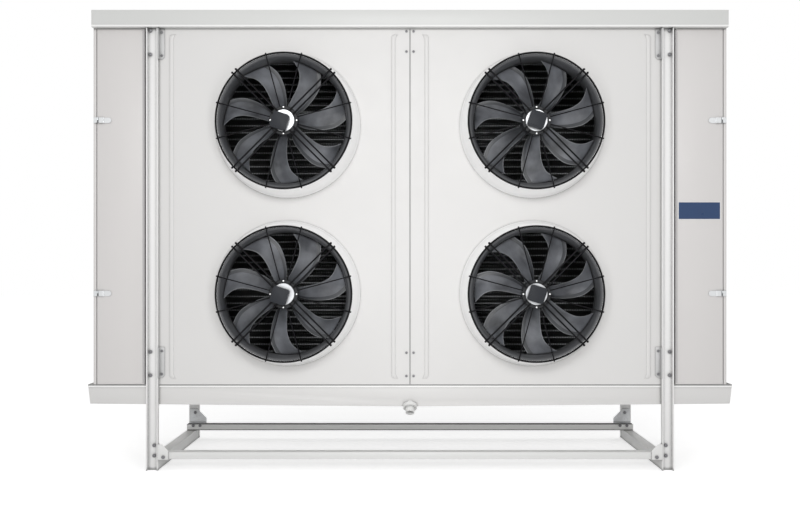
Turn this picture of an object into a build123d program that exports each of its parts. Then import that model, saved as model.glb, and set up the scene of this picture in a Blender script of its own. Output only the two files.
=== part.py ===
from build123d import *
import os
from math import cos, sin, radians

# Industrial walk-in unit cooler: four axial fans in front of a finned coil block,
# an end compartment with a hinged door on each side, a drain pan below and a bolted
# channel stand that carries it all on the floor.
# Millimetres. X is the width, +Y points to the rear (air intake side), Z is up.
# The origin lies on the floor in the middle of the four floor anchor holes.

# ---------------------------------------------------------------- stand
frame_width = 2800            # over the outer faces of the posts
frame_depth = 950             # over the front and rear faces of the posts
post_height = 2353
post_face = 62
post_depth = 30
post_wall = 6

side_beam_width = 60
side_beam_height = 60
side_beam_wall = 5

cross_beam_height = 38
cross_beam_depth = 60
cross_beam_wall = 4
front_beam_bottom = 61

gusset_wall = 4
front_gusset_width = 56
front_gusset_height = 82
front_gusset_corner = 33
front_gusset_drop = 2         # below the front beam
rear_gusset_width = 105
rear_gusset_height = 88
rear_gusset_corner = 58
rear_gusset_inset = 6         # from the outer face of the post
rear_gusset_foot = 40

shoe_wall = 5
shoe_length = 60
shoe_height = 92
shoe_width = 46

anchor_hole_radius = 7
anchor_inset = 25             # from the outer edge of a side beam
anchor_end = 60               # from the end of a side beam

# ---------------------------------------------------------------- casing
compartment_width = 288       # from a post to the side of the casing
casing_bottom = 455
sheet = 2
panel_flange = 25
door_strip = 16               # front flange of a side panel, beside the door
cover_height = 90
cover_overhang = 4            # past the front and rear faces of the posts
cover_lip = 62
tube_plate_wall = 3
tube_plate_flange = 28
seam_gap = 1                  # between the two fan panels

bead_offset_inner = 89        # from the middle of the casing
bead_inset_outer = 98         # from the outer edge of a fan panel
bead_width = 20
bead_rise = 3
bead_slope = 2.4
bead_inset = 32               # from the top and bottom edges of a fan panel
bead_hook = 16

bracket_width = 30
bracket_wall = 4
bracket_height = 164
bracket_depth = 26
bracket_corner = 14
bracket_top_gap = 2
bracket_bottom_gap = 35

# ---------------------------------------------------------------- drain pan
pan_overhang = 30             # past each side of the casing
pan_rise = 103
pan_fall = 15                 # how much lower the bottom lies in the middle
pan_wall = 3
pan_slope = 12                # how far an end leans out from its foot
drain_radius = 24
drain_neck_radius = 22
drain_bore_radius = 19
drain_tilt = 40               # from straight down towards the front
drain_inside = 34
drain_outside = 29
drain_collar_radius = 37
drain_collar_length = 9
drain_fit = 0.15

# ---------------------------------------------------------------- coil
coil_depth = 430
coil_rear_gap = 15
coil_edge_gap = 25
fin_skin = 12                 # wall of the core, which gives it the mass of its fins
fin_edge = 12                 # how far the fins stand out of the core, front and rear
fin_wall = 2
fin_count = 14
header_radius = 38
suction_offset = 59           # outwards from the middle of the compartment
suction_setback = 60          # from the rear of the coil
suction_height = 320          # above the casing bottom
liquid_radius = 17.5
liquid_offset = -6
liquid_setback = 60           # from the front of the coil
liquid_height = 180
header_end_gap = 60
suction_stub_radius = 27
liquid_stub_radius = 11
stub_reach = 60
stub_step = 2                 # the stub is this much thinner where it passes the cover
stub_fit = 0.3
feeder_radius = 9
feeder_count = 2

# ---------------------------------------------------------------- fans
fan_offset_x = 651
fan_low_z = 941
fan_pitch_z = 894
blade_count = 7
tip_radius = 315
tip_gap = 4
collar_rise = 160
throat_depth = 58             # from the collar lip back to the throat
inlet_depth = 60              # from the panel forward to the throat
inlet_flare = 26              # from the throat out to the mouth of the inlet bell
collar_mouth_flare = 33       # from the throat out to the lip
collar_lip_wall = 4
collar_skirt_flare = 34       # from the lip out to the foot on the panel
collar_seat = 28              # of the foot on the rim of the panel opening

guard_ring_wire = 4
arm_wire = 3.5
arm_spacing = 26
arm_overreach = 13
spoke_wire = 2.5
arm_angles = (45, 135, 225, 315)
spoke_angles = (15, 75, 105, 165, 195, 255, 285, 345)
spoke_gap = 0.2
arm_gap = 6                   # between the motor cap and the start of an arm

motor_flange_radius = 75
motor_flange_wall = 16
motor_cap_radius = 56
motor_cap_wall = 4
shaft_radius = 12
shaft_running_gap = 0.05
rotor_radius = 72
rotor_length = 84
rotor_face_gap = 4

box_side = 84
box_rise = 36
box_corner = 11
box_turn = -18

motor_screw_circle = 68
motor_screw_radius = 4.5
motor_screw_head = 4

# four sections of a blade, from its root inside the rotor to past its tip
blade_root_depth = 6
blade_tip_margin = 2
blade_inner_radius = 160
blade_outer_radius = 240
blade_half_chords = (36, 45, 54, 73)
blade_middle_angles = (53, 53, 58, 68)
blade_pitch_angles = (46, 38, 29, 21)
blade_thickness = 5
blade_camber = 0.045
left_fan_turn = 0
right_fan_turn = 3.5

# ---------------------------------------------------------------- doors and hinges
door_gap = 3
door_rise = 20
door_post_gap = 15            # its inner part lies behind the flange of the post
hinge_heights = (940, 1863)
hinge_height = 29
hinge_pivot_forward = 9
hinge_knuckle_half = 6
hinge_pin_radius = 3.5
hinge_running_gap = 0.06
hinge_leaf_wall = 3
hinge_fixed_reach = 17
hinge_strap_reach = 78
hinge_hump_width = 30
hinge_hump_rise = 9
hinge_leaf_gap = 1
hinge_knuckle_gap = 0.3

# ---------------------------------------------------------------- fasteners
bolt_flats = 17
bolt_head = 6.5
screw_flats = 12
screw_head = 4
post_bolt_inset = 18
post_bolt_rises = (49, 174)           # above the casing bottom
post_bolt_drops = (140, 13)           # below the casing top
shoe_bolt_inset = 38
shoe_bolt_rises = (16, 71)            # above the side beam
front_gusset_bolt_inset = 30
front_gusset_bolt_rise = 12           # above the underside of the front beam
rear_beam_bolt_insets = (40, 83)
rear_beam_bolt_rise = 30              # above the top of the side beams
rear_gusset_bolt_rise = 65            # above the rear beam
seam_screw_offset = 19
seam_screw_rises = (45, 169)          # above the casing bottom
seam_screw_drops = (123, 15)          # below the casing top
bracket_screw_inset = 16
bracket_screw_end = 20

# ---------------------------------------------------------------- derived places
post_outer = frame_width / 2
post_inner = post_outer - post_face
frame_front = -frame_depth / 2
frame_rear = frame_depth / 2
casing_front = frame_front + post_depth
casing_rear = frame_rear - post_depth
casing_top = post_height
casing_side = post_outer + compartment_width
compartment_middle = post_outer + compartment_width / 2
casing_rise = casing_top - casing_bottom
panel_outer = post_outer - tube_plate_flange - 1
coil_rear = casing_rear - coil_rear_gap
coil_front = coil_rear - coil_depth
coil_bottom = casing_bottom + coil_edge_gap
coil_top = casing_top - coil_edge_gap
fan_places = {
    "upper_left": (-fan_offset_x, fan_low_z + fan_pitch_z, left_fan_turn),
    "upper_right": (fan_offset_x, fan_low_z + fan_pitch_z, right_fan_turn),
    "lower_left": (-fan_offset_x, fan_low_z, left_fan_turn),
    "lower_right": (fan_offset_x, fan_low_z, right_fan_turn),
}
sides = {"left": -1, "right": 1}
throat_radius = tip_radius + tip_gap
collar_lip_radius = throat_radius + collar_mouth_flare
collar_mouth_radius = collar_lip_radius - collar_lip_wall
collar_base_radius = collar_lip_radius + collar_skirt_flare
panel_hole_radius = collar_base_radius - collar_seat
guard_ring_radius = collar_lip_radius - collar_lip_wall / 2

os.makedirs("parts", exist_ok=True)


def save(name, shape):
    """Write one piece, or one group of like pieces, as its own STEP file."""
    shape.label = name
    export_step(shape, f"parts/{name}.step")


def block(x0, x1, y0, y1, z0, z1):
    """A box between two corners, given in any order."""
    size = (abs(x1 - x0), abs(y1 - y0), abs(z1 - z0))
    centre = ((x0 + x1) / 2, (y0 + y1) / 2, (z0 + z1) / 2)
    return Pos(*centre) * Box(*size)


def group(name, pieces):
    """Like pieces kept as separate solids in one node."""
    save(name, Compound(children=pieces))


def side_block(side, x0, x1, y0, y1, z0, z1):
    """A box given for the right-hand side, mirrored to the left where side is -1."""
    return block(side * x0, side * x1, y0, y1, z0, z1)


def prism(points, plane, depth):
    """A straight-sided outline on a plane, extruded along its normal."""
    return extrude(plane * make_face(Polyline(*points, close=True)), depth)


def hex_head(x, y, z, flats, rise, towards=-1):
    """A hexagon head that stands on a face looking along Y."""
    plane = Plane(origin=(x, y, z), x_dir=(1, 0, 0), z_dir=(0, towards, 0))
    outline = RegularPolygon(flats / 2, 6, major_radius=False)
    return extrude(plane * outline, rise)


# ---------------------------------------------------------------- stand pieces
def post(side, front):
    """Open channel with its web against the casing and its flanges away from it."""
    outer_face = frame_front if front else frame_rear
    web_face = casing_front if front else casing_rear
    inwards = 1 if front else -1
    body = side_block(side, post_inner, post_outer, outer_face, web_face, 0, post_height)
    hollow = side_block(side, post_inner + post_wall, post_outer - post_wall,
                        outer_face - inwards, web_face - inwards * post_wall, -1, post_height + 1)
    return body - hollow


def side_beam(side):
    """Channel on the floor between the posts, open to the outside, with two anchor holes."""
    inner = post_outer - side_beam_width
    beam = side_block(side, inner, post_outer, casing_front, casing_rear, 0, side_beam_height)
    hollow = side_block(side, inner + side_beam_wall, post_outer + 1, casing_front - 1, casing_rear + 1,
                        side_beam_wall, side_beam_height - side_beam_wall)
    beam -= hollow
    for y in (casing_front + anchor_end, casing_rear - anchor_end):
        beam -= Pos(side * (post_outer - anchor_inset), y, side_beam_wall / 2) * Cylinder(
            anchor_hole_radius, side_beam_wall + 2)
    return beam


front_beam_face = frame_front + gusset_wall
front_beam_top = front_beam_bottom + cross_beam_height


def front_beam():
    """Channel lying between the front posts behind the two front gussets."""
    reach = post_inner - gusset_wall
    body = block(-reach, reach, front_beam_face, front_beam_face + cross_beam_depth,
                 front_beam_bottom, front_beam_top)
    hollow = block(-reach - 1, reach + 1, front_beam_face + cross_beam_wall,
                   front_beam_face + cross_beam_depth + 1,
                   front_beam_bottom + cross_beam_wall, front_beam_top - cross_beam_wall)
    return body - hollow


rear_beam_bottom = side_beam_height
rear_beam_top = rear_beam_bottom + cross_beam_height
rear_beam_face = casing_rear - cross_beam_depth


def rear_beam():
    """Channel on top of the side beams, against the webs of the rear posts."""
    body = block(-post_outer, post_outer, rear_beam_face, casing_rear,
                 rear_beam_bottom, rear_beam_top)
    hollow = block(-post_outer - 1, post_outer + 1, rear_beam_face + cross_beam_wall,
                   casing_rear - cross_beam_wall, rear_beam_bottom - 1,
                   rear_beam_top - cross_beam_wall)
    return body - hollow


def front_gusset(side):
    """Corner plate in front of the beam end, with a flange on the inner face of the post."""
    outer = post_inner
    inner = outer - front_gusset_width
    low = front_beam_bottom - front_gusset_drop
    high = low + front_gusset_height
    points = [
        (side * outer, low),
        (side * outer, high),
        (side * (inner + front_gusset_corner), high),
        (side * inner, high - front_gusset_corner),
        (side * inner, low),
    ]
    plate = prism(points, Plane.XZ.offset(-front_beam_face), gusset_wall)
    flange = side_block(side, outer - gusset_wall, outer, front_beam_face, casing_front, low, high)
    return plate + flange


def rear_gusset(side):
    """Corner plate on the web of a rear post, with a foot on top of the rear beam."""
    outer = post_outer - rear_gusset_inset
    inner = outer - rear_gusset_width
    low = rear_beam_top
    high = low + rear_gusset_height
    points = [
        (side * outer, low),
        (side * outer, high),
        (side * (inner + rear_gusset_corner), high),
        (side * inner, high - rear_gusset_corner),
        (side * inner, low),
    ]
    plate = prism(points, Plane.XZ.offset(-casing_rear), gusset_wall)
    foot = side_block(side, inner, outer, casing_rear - rear_gusset_foot, casing_rear,
                      low, low + gusset_wall)
    return plate + foot


def post_shoe(side):
    """Angle that ties the web of a front post to the top of the side beam."""
    outer = post_outer - (post_face - shoe_width) / 2
    inner = outer - shoe_width
    low = side_beam_height
    upright = side_block(side, inner, outer, casing_front, casing_front + shoe_wall,
                         low, low + shoe_height)
    foot = side_block(side, inner, outer, casing_front, casing_front + shoe_length,
                      low, low + shoe_wall)
    return upright + foot


for side_name, side in sides.items():
    save(f"front_post_{side_name}", post(side, True))
    save(f"rear_post_{side_name}", post(side, False))
    save(f"side_beam_{side_name}", side_beam(side))
    save(f"front_gusset_{side_name}", front_gusset(side))
    save(f"rear_gusset_{side_name}", rear_gusset(side))
    save(f"post_shoe_{side_name}", post_shoe(side))
save("front_cross_beam", front_beam())
save("rear_cross_beam", rear_beam())


# ---------------------------------------------------------------- casing pieces
def bead(x, hook_sign):
    """Raised bead pressed into a fan panel, with a short hook at each end."""
    low = casing_bottom + bead_inset
    high = casing_top - bead_inset
    half = bead_width / 2
    tip = bead_hook * hook_sign
    points = [
        (x - half, low + half),
        (x - half + tip, low),
        (x + half + tip, low),
        (x + half, low + half),
        (x + half, high - half),
        (x + half + tip, high),
        (x - half + tip, high),
        (x - half, high - half),
    ]
    raised = prism(points, Plane.XZ.offset(-casing_front), bead_rise)
    top_edges = raised.faces().sort_by(Axis.Y)[0].edges()
    return chamfer(top_edges, bead_slope)


def fan_panel(side):
    """Folded front sheet with two round openings and two pressed beads."""
    inner = seam_gap / 2
    outer = panel_outer
    low = casing_bottom
    high = casing_top
    body = side_block(side, inner, outer, casing_front, casing_front + panel_flange, low, high)
    hollow = side_block(side, inner + sheet, outer - sheet, casing_front + sheet,
                        casing_front + panel_flange + 1, low + sheet, high - sheet)
    panel = body - hollow
    for z in (fan_low_z, fan_low_z + fan_pitch_z):
        hole = Cylinder(panel_hole_radius, 4 * sheet, rotation=(90, 0, 0))
        panel -= Pos(side * fan_offset_x, casing_front, z) * hole
    panel += bead(side * bead_offset_inner, -side)
    panel += bead(side * (panel_outer - bead_inset_outer), -side)
    return panel


def mid_partition():
    """Upright sheet that parts the left and right fan chambers."""
    return block(-sheet / 2, sheet / 2, casing_front + panel_flange, coil_front,
                 casing_bottom + sheet, casing_top - sheet)


def tube_plate(side):
    """End plate of the coil, also the inner wall of the end compartment."""
    inner = panel_outer + 1
    plate = side_block(side, inner, inner + tube_plate_wall, casing_front, casing_rear,
                       casing_bottom, casing_top)
    for y0, y1 in ((casing_front, casing_front + tube_plate_wall),
                   (casing_rear - tube_plate_wall, casing_rear)):
        plate += side_block(side, inner, inner + tube_plate_flange, y0, y1,
                            casing_bottom, casing_top)
    return plate


def side_panel(side):
    """Outer wall of an end compartment, with a folded strip beside the door."""
    body = side_block(side, casing_side - door_strip, casing_side, casing_front, casing_rear,
                      casing_bottom, casing_top)
    hollow = side_block(side, casing_side - door_strip - 1, casing_side - sheet,
                        casing_front + sheet, casing_rear - sheet,
                        casing_bottom - 1, casing_top + 1)
    return body - hollow


compartment_inner = panel_outer + 1 + tube_plate_flange + 1
compartment_outer = casing_side - door_strip - 1


def rear_cover(side):
    """Folded sheet that closes the rear of an end compartment."""
    body = side_block(side, compartment_inner, compartment_outer, casing_rear - door_rise,
                      casing_rear, casing_bottom, casing_top)
    hollow = side_block(side, compartment_inner + sheet, compartment_outer - sheet,
                        casing_rear - door_rise - 1, casing_rear - sheet,
                        casing_bottom + sheet, casing_top - sheet)
    cover = body - hollow
    if side > 0:
        for x, z, radius in (suction_place, liquid_place):
            opening = Cylinder(radius - stub_step + stub_fit, 6 * sheet, rotation=(90, 0, 0))
            cover -= Pos(x, casing_rear, z) * opening
    return cover


def top_cover():
    """Shallow lid over the whole unit, with its edges folded down and in."""
    front = frame_front - cover_overhang
    rear = frame_rear + cover_overhang
    high = casing_top + cover_height
    body = block(-casing_side, casing_side, front, rear, casing_top, high)
    hollow = block(-casing_side + sheet, casing_side - sheet, front + sheet, rear - sheet,
                   casing_top + sheet, high - sheet)
    mouth = block(-casing_side + cover_lip, casing_side - cover_lip, front + cover_lip,
                  rear - cover_lip, casing_top - 1, casing_top + 2 * sheet)
    return body - hollow - mouth


def bracket(side, low):
    """Angle beside a front post: one leg on the fan panel, one on the post."""
    outer = post_inner
    inner = outer - bracket_width
    high = low + bracket_height
    points = [
        (side * outer, low),
        (side * outer, high),
        (side * inner, high),
        (side * inner, low + bracket_corner),
        (side * (inner + bracket_corner), low),
    ]
    leg = prism(points, Plane.XZ.offset(-casing_front), bracket_wall)
    wing = side_block(side, outer - bracket_wall, outer, casing_front - bracket_depth,
                      casing_front, low, high)
    return leg + wing


suction_place = (compartment_middle + suction_offset, casing_bottom + suction_height, suction_stub_radius)
liquid_place = (compartment_middle + liquid_offset, casing_bottom + liquid_height, liquid_stub_radius)
bracket_lows = (casing_bottom + bracket_bottom_gap,
                casing_top - bracket_top_gap - bracket_height)

for side_name, side in sides.items():
    save(f"fan_panel_{side_name}", fan_panel(side))
    save(f"tube_plate_{side_name}", tube_plate(side))
    save(f"side_panel_{side_name}", side_panel(side))
    save(f"rear_cover_{side_name}", rear_cover(side))
save("mid_partition", mid_partition())
save("top_cover", top_cover())
for side_name, side in sides.items():
    for level, low in zip(("lower", "upper"), bracket_lows):
        save(f"panel_bracket_{level}_{side_name}", bracket(side, low))


# ---------------------------------------------------------------- drain pan and outlet
drain_plane = Plane(origin=(0, casing_front, casing_bottom - pan_rise - pan_fall),
                    x_dir=(1, 0, 0),
                    z_dir=(0, -sin(radians(drain_tilt)), -cos(radians(drain_tilt))))


def pan_outline(inset, above):
    """Front outline of the pan, sloped ends and falling bottom, moved in by a wall."""
    half = casing_side + pan_overhang - inset
    foot = half - pan_slope
    low = casing_bottom - pan_rise + inset
    high = casing_bottom + above
    return [(-foot, low), (-half, high), (half, high), (foot, low), (0, low - pan_fall)]


def pan_body():
    """The pan as a solid block, without its hollow."""
    return prism(pan_outline(0, 0), Plane.XZ.offset(-casing_rear), casing_rear - casing_front)


def drain_pan():
    """Open tray whose bottom falls from both ends to the outlet in the middle."""
    depth = casing_rear - casing_front
    hollow = prism(pan_outline(pan_wall, 1), Plane.XZ.offset(-casing_rear + pan_wall),
                   depth - 2 * pan_wall)
    bore = Cylinder(drain_neck_radius + drain_fit, 4 * drain_inside)
    return pan_body() - hollow - drain_plane.location * bore


def drain_collar():
    """Welding collar round the outlet, cut to the faces of the pan."""
    ring = Cylinder(drain_collar_radius, 2 * drain_collar_length)
    ring -= Cylinder(drain_neck_radius + drain_fit, 4 * drain_inside)
    return drain_plane.location * ring - pan_body()


def drain_outlet():
    """Pipe stub at the lower front edge of the pan, thinner where it passes the wall."""
    neck_length = drain_inside + drain_collar_length
    neck = Pos(0, 0, drain_collar_length - neck_length / 2) * Cylinder(
        drain_neck_radius, neck_length)
    spout = Pos(0, 0, drain_collar_length + drain_outside / 2) * Cylinder(
        drain_radius, drain_outside)
    return drain_plane.location * (neck + spout - Cylinder(drain_bore_radius, 8 * drain_inside))


save("drain_collar", drain_collar())
save("drain_pan", drain_pan())
save("drain_outlet", drain_outlet())


# ---------------------------------------------------------------- coil
def fin_pack():
    """Finned block of the coil: a closed hollow core that fin plates stand out of."""
    reach = panel_outer + 1
    front = coil_front + fin_edge
    rear = coil_rear - fin_edge
    body = block(-reach, reach, front, rear, coil_bottom, coil_top)
    pitch = (2 * reach - fin_wall) / (fin_count - 1)
    for index in range(fin_count):
        x = -reach + index * pitch
        body += block(x, x + fin_wall, coil_front, coil_rear, coil_bottom, coil_top)
    core = block(-reach + fin_skin, reach - fin_skin, front + fin_skin, rear - fin_skin,
                 coil_bottom + fin_skin, coil_top - fin_skin)
    return body - core


def header(x, y, radius, branch_radius, stub):
    """Upright header pipe with branches to the tube plate and a stub out of the rear."""
    low = coil_bottom + header_end_gap
    high = coil_top - header_end_gap
    pipe = Pos(x, y, (low + high) / 2) * Cylinder(radius, high - low)
    plate_face = panel_outer + 1 + tube_plate_wall
    for index in range(feeder_count):
        z = low + (high - low) * (index + 0.5) / feeder_count
        branch = Cylinder(branch_radius, x - plate_face, rotation=(0, 90, 0))
        pipe += Pos((x + plate_face) / 2, y, z) * branch
    stub_x, stub_z, stub_radius = stub
    pipe += Pos(stub_x, (y + casing_rear) / 2, stub_z) * Cylinder(
        stub_radius - stub_step, casing_rear - y, rotation=(90, 0, 0))
    pipe += Pos(stub_x, casing_rear + stub_reach / 2, stub_z) * Cylinder(
        stub_radius, stub_reach, rotation=(90, 0, 0))
    return pipe


save("fin_pack", fin_pack())
save("suction_header", header(suction_place[0], coil_rear - suction_setback, header_radius,
                              feeder_radius, suction_place))
save("liquid_header", header(liquid_place[0], coil_front + liquid_setback, liquid_radius,
                             feeder_radius / 2, liquid_place))


# ---------------------------------------------------------------- fans
def fan_location(x, z):
    """Frame of one fan: local Z points forward out of the casing front."""
    return Plane(origin=(x, casing_front, z), x_dir=(1, 0, 0), z_dir=(0, -1, 0)).location


motor_flange_front = collar_rise + 2 * guard_ring_wire
motor_flange_back = motor_flange_front - motor_flange_wall
rotor_front = motor_flange_back - rotor_face_gap
rotor_back = rotor_front - rotor_length


def fan_collar():
    """Conical collar with a belled inlet, a straight throat and a flared mouth."""
    points = [
        (throat_radius + inlet_flare, 0),
        (collar_base_radius, 0),
        (collar_lip_radius, collar_rise),
        (collar_mouth_radius, collar_rise),
        (throat_radius, collar_rise - throat_depth),
        (throat_radius, inlet_depth),
    ]
    profile = make_face(Plane.XZ * Polyline(*points, close=True))
    return revolve(profile, Axis.Z)


def turned(angle, shape):
    """A shape turned about the fan axis."""
    return Rot(0, 0, angle) * shape


def wire(radius, start, end, offset, height, corners):
    """Straight guard wire that runs outwards, parallel to the local X axis."""
    plane = Plane(origin=(start, offset, height), x_dir=(0, 1, 0), z_dir=(1, 0, 0))
    return extrude(plane * RegularPolygon(radius, corners), end - start)


def guard_ring(height):
    """Closed ring wire of the guard."""
    centre = (guard_ring_radius, 0, height)
    section = Plane(origin=centre, x_dir=(1, 0, 0), z_dir=(0, -1, 0)) * RegularPolygon(
        guard_ring_wire, 4)
    return revolve(section, Axis.Z)


def fan_guard():
    """Guard ring with the four double arms that carry the motor, and eight spokes."""
    ring_z = collar_rise + guard_ring_wire
    arm_z = ring_z + guard_ring_wire + arm_wire * cos(radians(30))
    wires = [guard_ring(ring_z)]
    arm_end = guard_ring_radius + arm_overreach
    for angle in arm_angles:
        for offset in (-arm_spacing / 2, arm_spacing / 2):
            arm = wire(arm_wire, motor_cap_radius + arm_gap, arm_end, offset, arm_z, 6)
            wires.append(turned(angle, arm))
    spoke_end = guard_ring_radius - guard_ring_wire - spoke_gap
    for angle in spoke_angles:
        spoke = wire(spoke_wire, motor_flange_radius + spoke_gap, spoke_end, 0, ring_z, 4)
        wires.append(turned(angle, spoke))
    return wires


def motor_stator():
    """Fixed half of the external-rotor motor: flange under the arms, cap and shaft."""
    flange = Pos(0, 0, motor_flange_front - motor_flange_wall / 2) * Cylinder(
        motor_flange_radius, motor_flange_wall)
    cap = Pos(0, 0, motor_flange_front + motor_cap_wall / 2) * Cylinder(
        motor_cap_radius, motor_cap_wall)
    shaft_length = motor_flange_back - rotor_back
    shaft = Pos(0, 0, rotor_back + shaft_length / 2) * Cylinder(shaft_radius, shaft_length)
    return flange + cap + shaft


def terminal_box():
    """Square terminal box on the cap of the motor."""
    outline = chamfer(Rectangle(box_side, box_side).vertices(), box_corner)
    box = extrude(outline, box_rise)
    return Pos(0, 0, motor_flange_front + motor_cap_wall) * turned(box_turn, box)


def blade_section(radius, middle, half_chord, pitch):
    """Cambered section of a blade, square to the radius at its own distance from the axis."""
    middle_angle = radians(middle)
    pitch_angle = radians(pitch)
    radial = Vector(cos(middle_angle), sin(middle_angle), 0)
    tangent = Vector(-sin(middle_angle), cos(middle_angle), 0)
    chord_dir = tangent * cos(pitch_angle) + Vector(0, 0, sin(pitch_angle))
    chord = half_chord / cos(pitch_angle)
    origin = radial * radius + Vector(0, 0, (rotor_front + rotor_back) / 2)
    plane = Plane(origin=origin, x_dir=chord_dir, z_dir=radial)
    sag = -blade_camber * 2 * chord
    front = ThreePointArc((-chord, 0), (0, sag + blade_thickness / 2), (chord, 0))
    rear = ThreePointArc((chord, 0), (0, sag - blade_thickness / 2), (-chord, 0))
    return plane * make_face(front + rear)


def impeller(turn):
    """Rotor of the motor with its ring of twisted sickle blades."""
    axis_middle = (rotor_front + rotor_back) / 2
    rotor = Pos(0, 0, axis_middle) * Cylinder(rotor_radius, rotor_length)
    sweep_space = Pos(0, 0, axis_middle) * (Cylinder(tip_radius, 3 * rotor_length)
                                            - Cylinder(rotor_radius - 4, 4 * rotor_length))
    radii = (rotor_radius - blade_root_depth, blade_inner_radius, blade_outer_radius,
             tip_radius + blade_tip_margin)
    sections = zip(radii, blade_middle_angles, blade_half_chords, blade_pitch_angles)
    single = loft([blade_section(*section) for section in sections]) & sweep_space
    for index in range(blade_count):
        rotor += turned(index * 360 / blade_count, single)
    rotor -= Pos(0, 0, axis_middle) * Cylinder(shaft_radius + shaft_running_gap,
                                               2 * rotor_length)
    return turned(turn, rotor)


def motor_screw(angle):
    """Hexagon head on the motor flange."""
    outline = RegularPolygon(motor_screw_radius, 6)
    head = extrude(Pos(motor_screw_circle, 0, motor_flange_front) * outline,
                   motor_screw_head)
    return turned(angle, head)


collar = fan_collar()
guard = fan_guard()
stator = motor_stator()
box = terminal_box()
impellers = {turn: impeller(turn) for turn in (left_fan_turn, right_fan_turn)}
stators = []
boxes = []
screws = []
for place_name, (x, z, turn) in fan_places.items():
    location = fan_location(x, z)
    save(f"fan_collar_{place_name}", location * collar)
    group(f"fan_guard_{place_name}", [location * wire_piece for wire_piece in guard])
    save(f"impeller_{place_name}", location * impellers[turn])
    stators.append(location * stator)
    boxes.append(location * box)
    for angle in (0, 90, 180, 270):
        screws.append(location * motor_screw(angle))
group("motor_stators", stators)
group("terminal_boxes", boxes)
group("motor_screws", screws)


# ---------------------------------------------------------------- doors and hinges
door_outer = casing_side - door_strip - door_gap
door_inner = post_outer + door_post_gap
hinge_x = casing_side - door_strip - door_gap / 2
hinge_y = casing_front - hinge_pivot_forward


def door(side):
    """Folded door of an end compartment."""
    low = casing_bottom + 1
    high = casing_top - 1
    body = side_block(side, door_inner, door_outer, casing_front, casing_front + door_rise,
                      low, high)
    hollow = side_block(side, door_inner + sheet, door_outer - sheet, casing_front + sheet,
                        casing_front + door_rise + 1, low + sheet, high - sheet)
    return body - hollow


def hinge_round(side, low, high, radius):
    """Upright cylinder on the hinge axis."""
    return Pos(side * hinge_x, hinge_y, (low + high) / 2) * Cylinder(radius, high - low)


def hinge_knuckle(side, low, high):
    """Square knuckle centred on the hinge axis."""
    half = hinge_knuckle_half
    return side_block(side, hinge_x - half, hinge_x + half, hinge_y - half, hinge_y + half,
                      low, high)


def fixed_hinge(side, height):
    """Leaf on the side panel strip, with the lower knuckle and the pin that stands in it."""
    low = height - hinge_height / 2
    high = height + hinge_height / 2
    near = hinge_x + hinge_knuckle_half + hinge_leaf_gap
    leaf = side_block(side, near, hinge_x + hinge_fixed_reach,
                      casing_front - hinge_leaf_wall, casing_front, low, high)
    foot = side_block(side, hinge_x, near, hinge_y, casing_front, low, height)
    pin = hinge_round(side, height - 1, high, hinge_pin_radius)
    return leaf + foot + hinge_knuckle(side, low, height) + pin


def moving_hinge(side, height):
    """Strap on the door: the upper knuckle, a hump and a round-ended leaf."""
    low = height - hinge_height / 2
    high = height + hinge_height / 2
    start = hinge_x - casing_front + hinge_y
    hump_end = start - hinge_hump_width
    tip = hinge_x - hinge_strap_reach + hinge_height / 2
    strap = side_block(side, hump_end, tip, casing_front - hinge_leaf_wall, casing_front,
                       low, high)
    tip_plane = Plane(origin=(side * tip, casing_front, height),
                      x_dir=(1, 0, 0), z_dir=(0, -1, 0))
    strap += extrude(tip_plane * Circle(hinge_height / 2), hinge_leaf_wall)
    crown = casing_front - hinge_hump_rise
    hump_points = [
        (side * start, casing_front),
        (side * start, crown + hinge_hump_rise / 3),
        (side * (start - hinge_hump_rise / 2), crown),
        (side * (hump_end + hinge_hump_rise / 2), crown),
        (side * hump_end, crown + hinge_hump_rise / 3),
        (side * hump_end, casing_front),
    ]
    strap += prism(hump_points, Plane.XY.offset(low), hinge_height)
    middle = height + hinge_knuckle_gap
    strap += hinge_knuckle(side, middle, high)
    strap += side_block(side, hinge_x, start, hinge_y, hinge_y + hinge_knuckle_half,
                        middle, high)
    return strap - hinge_round(side, low, high + 1, hinge_pin_radius + hinge_running_gap)


for side_name, side in sides.items():
    save(f"door_{side_name}", door(side))
    group(f"hinge_leaves_{side_name}", [fixed_hinge(side, z) for z in hinge_heights])
    group(f"hinge_straps_{side_name}", [moving_hinge(side, z) for z in hinge_heights])


# ---------------------------------------------------------------- fasteners
def levels(rises, drops):
    """Heights of fasteners that are set from the bottom or the top of the casing."""
    return [casing_bottom + rise for rise in rises] + [casing_top - drop for drop in drops]


def frame_bolts():
    """Hexagon heads on the webs of the posts, the gussets and the rear beam."""
    web_front = casing_front - post_wall
    places = []
    for z in levels(post_bolt_rises, post_bolt_drops):
        places.append((post_outer - post_bolt_inset, web_front, z))
    for rise in shoe_bolt_rises:
        places.append((post_outer - shoe_bolt_inset, web_front, side_beam_height + rise))
    places.append((post_inner - front_gusset_bolt_inset, frame_front,
                   front_beam_bottom + front_gusset_bolt_rise))
    for inset in rear_beam_bolt_insets:
        places.append((post_outer - inset, rear_beam_face, rear_beam_bottom + rear_beam_bolt_rise))
    places.append((post_outer - rear_beam_bolt_insets[0], casing_rear - gusset_wall,
                   rear_beam_top + rear_gusset_bolt_rise))
    return [hex_head(side * x, y, z, bolt_flats, bolt_head)
            for side in sides.values() for x, y, z in places]


def panel_screws():
    """Hexagon heads along the seam of the fan panels and on the brackets."""
    places = []
    for z in levels(seam_screw_rises, seam_screw_drops):
        places.append((seam_screw_offset, casing_front, z))
    for low in bracket_lows:
        for z in (low + bracket_screw_end, low + bracket_height - bracket_screw_end):
            places.append((post_inner - bracket_screw_inset, casing_front - bracket_wall, z))
    return [hex_head(side * x, y, z, screw_flats, screw_head)
            for side in sides.values() for x, y, z in places]


group("frame_bolts", frame_bolts())
group("panel_screws", panel_screws())
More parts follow.
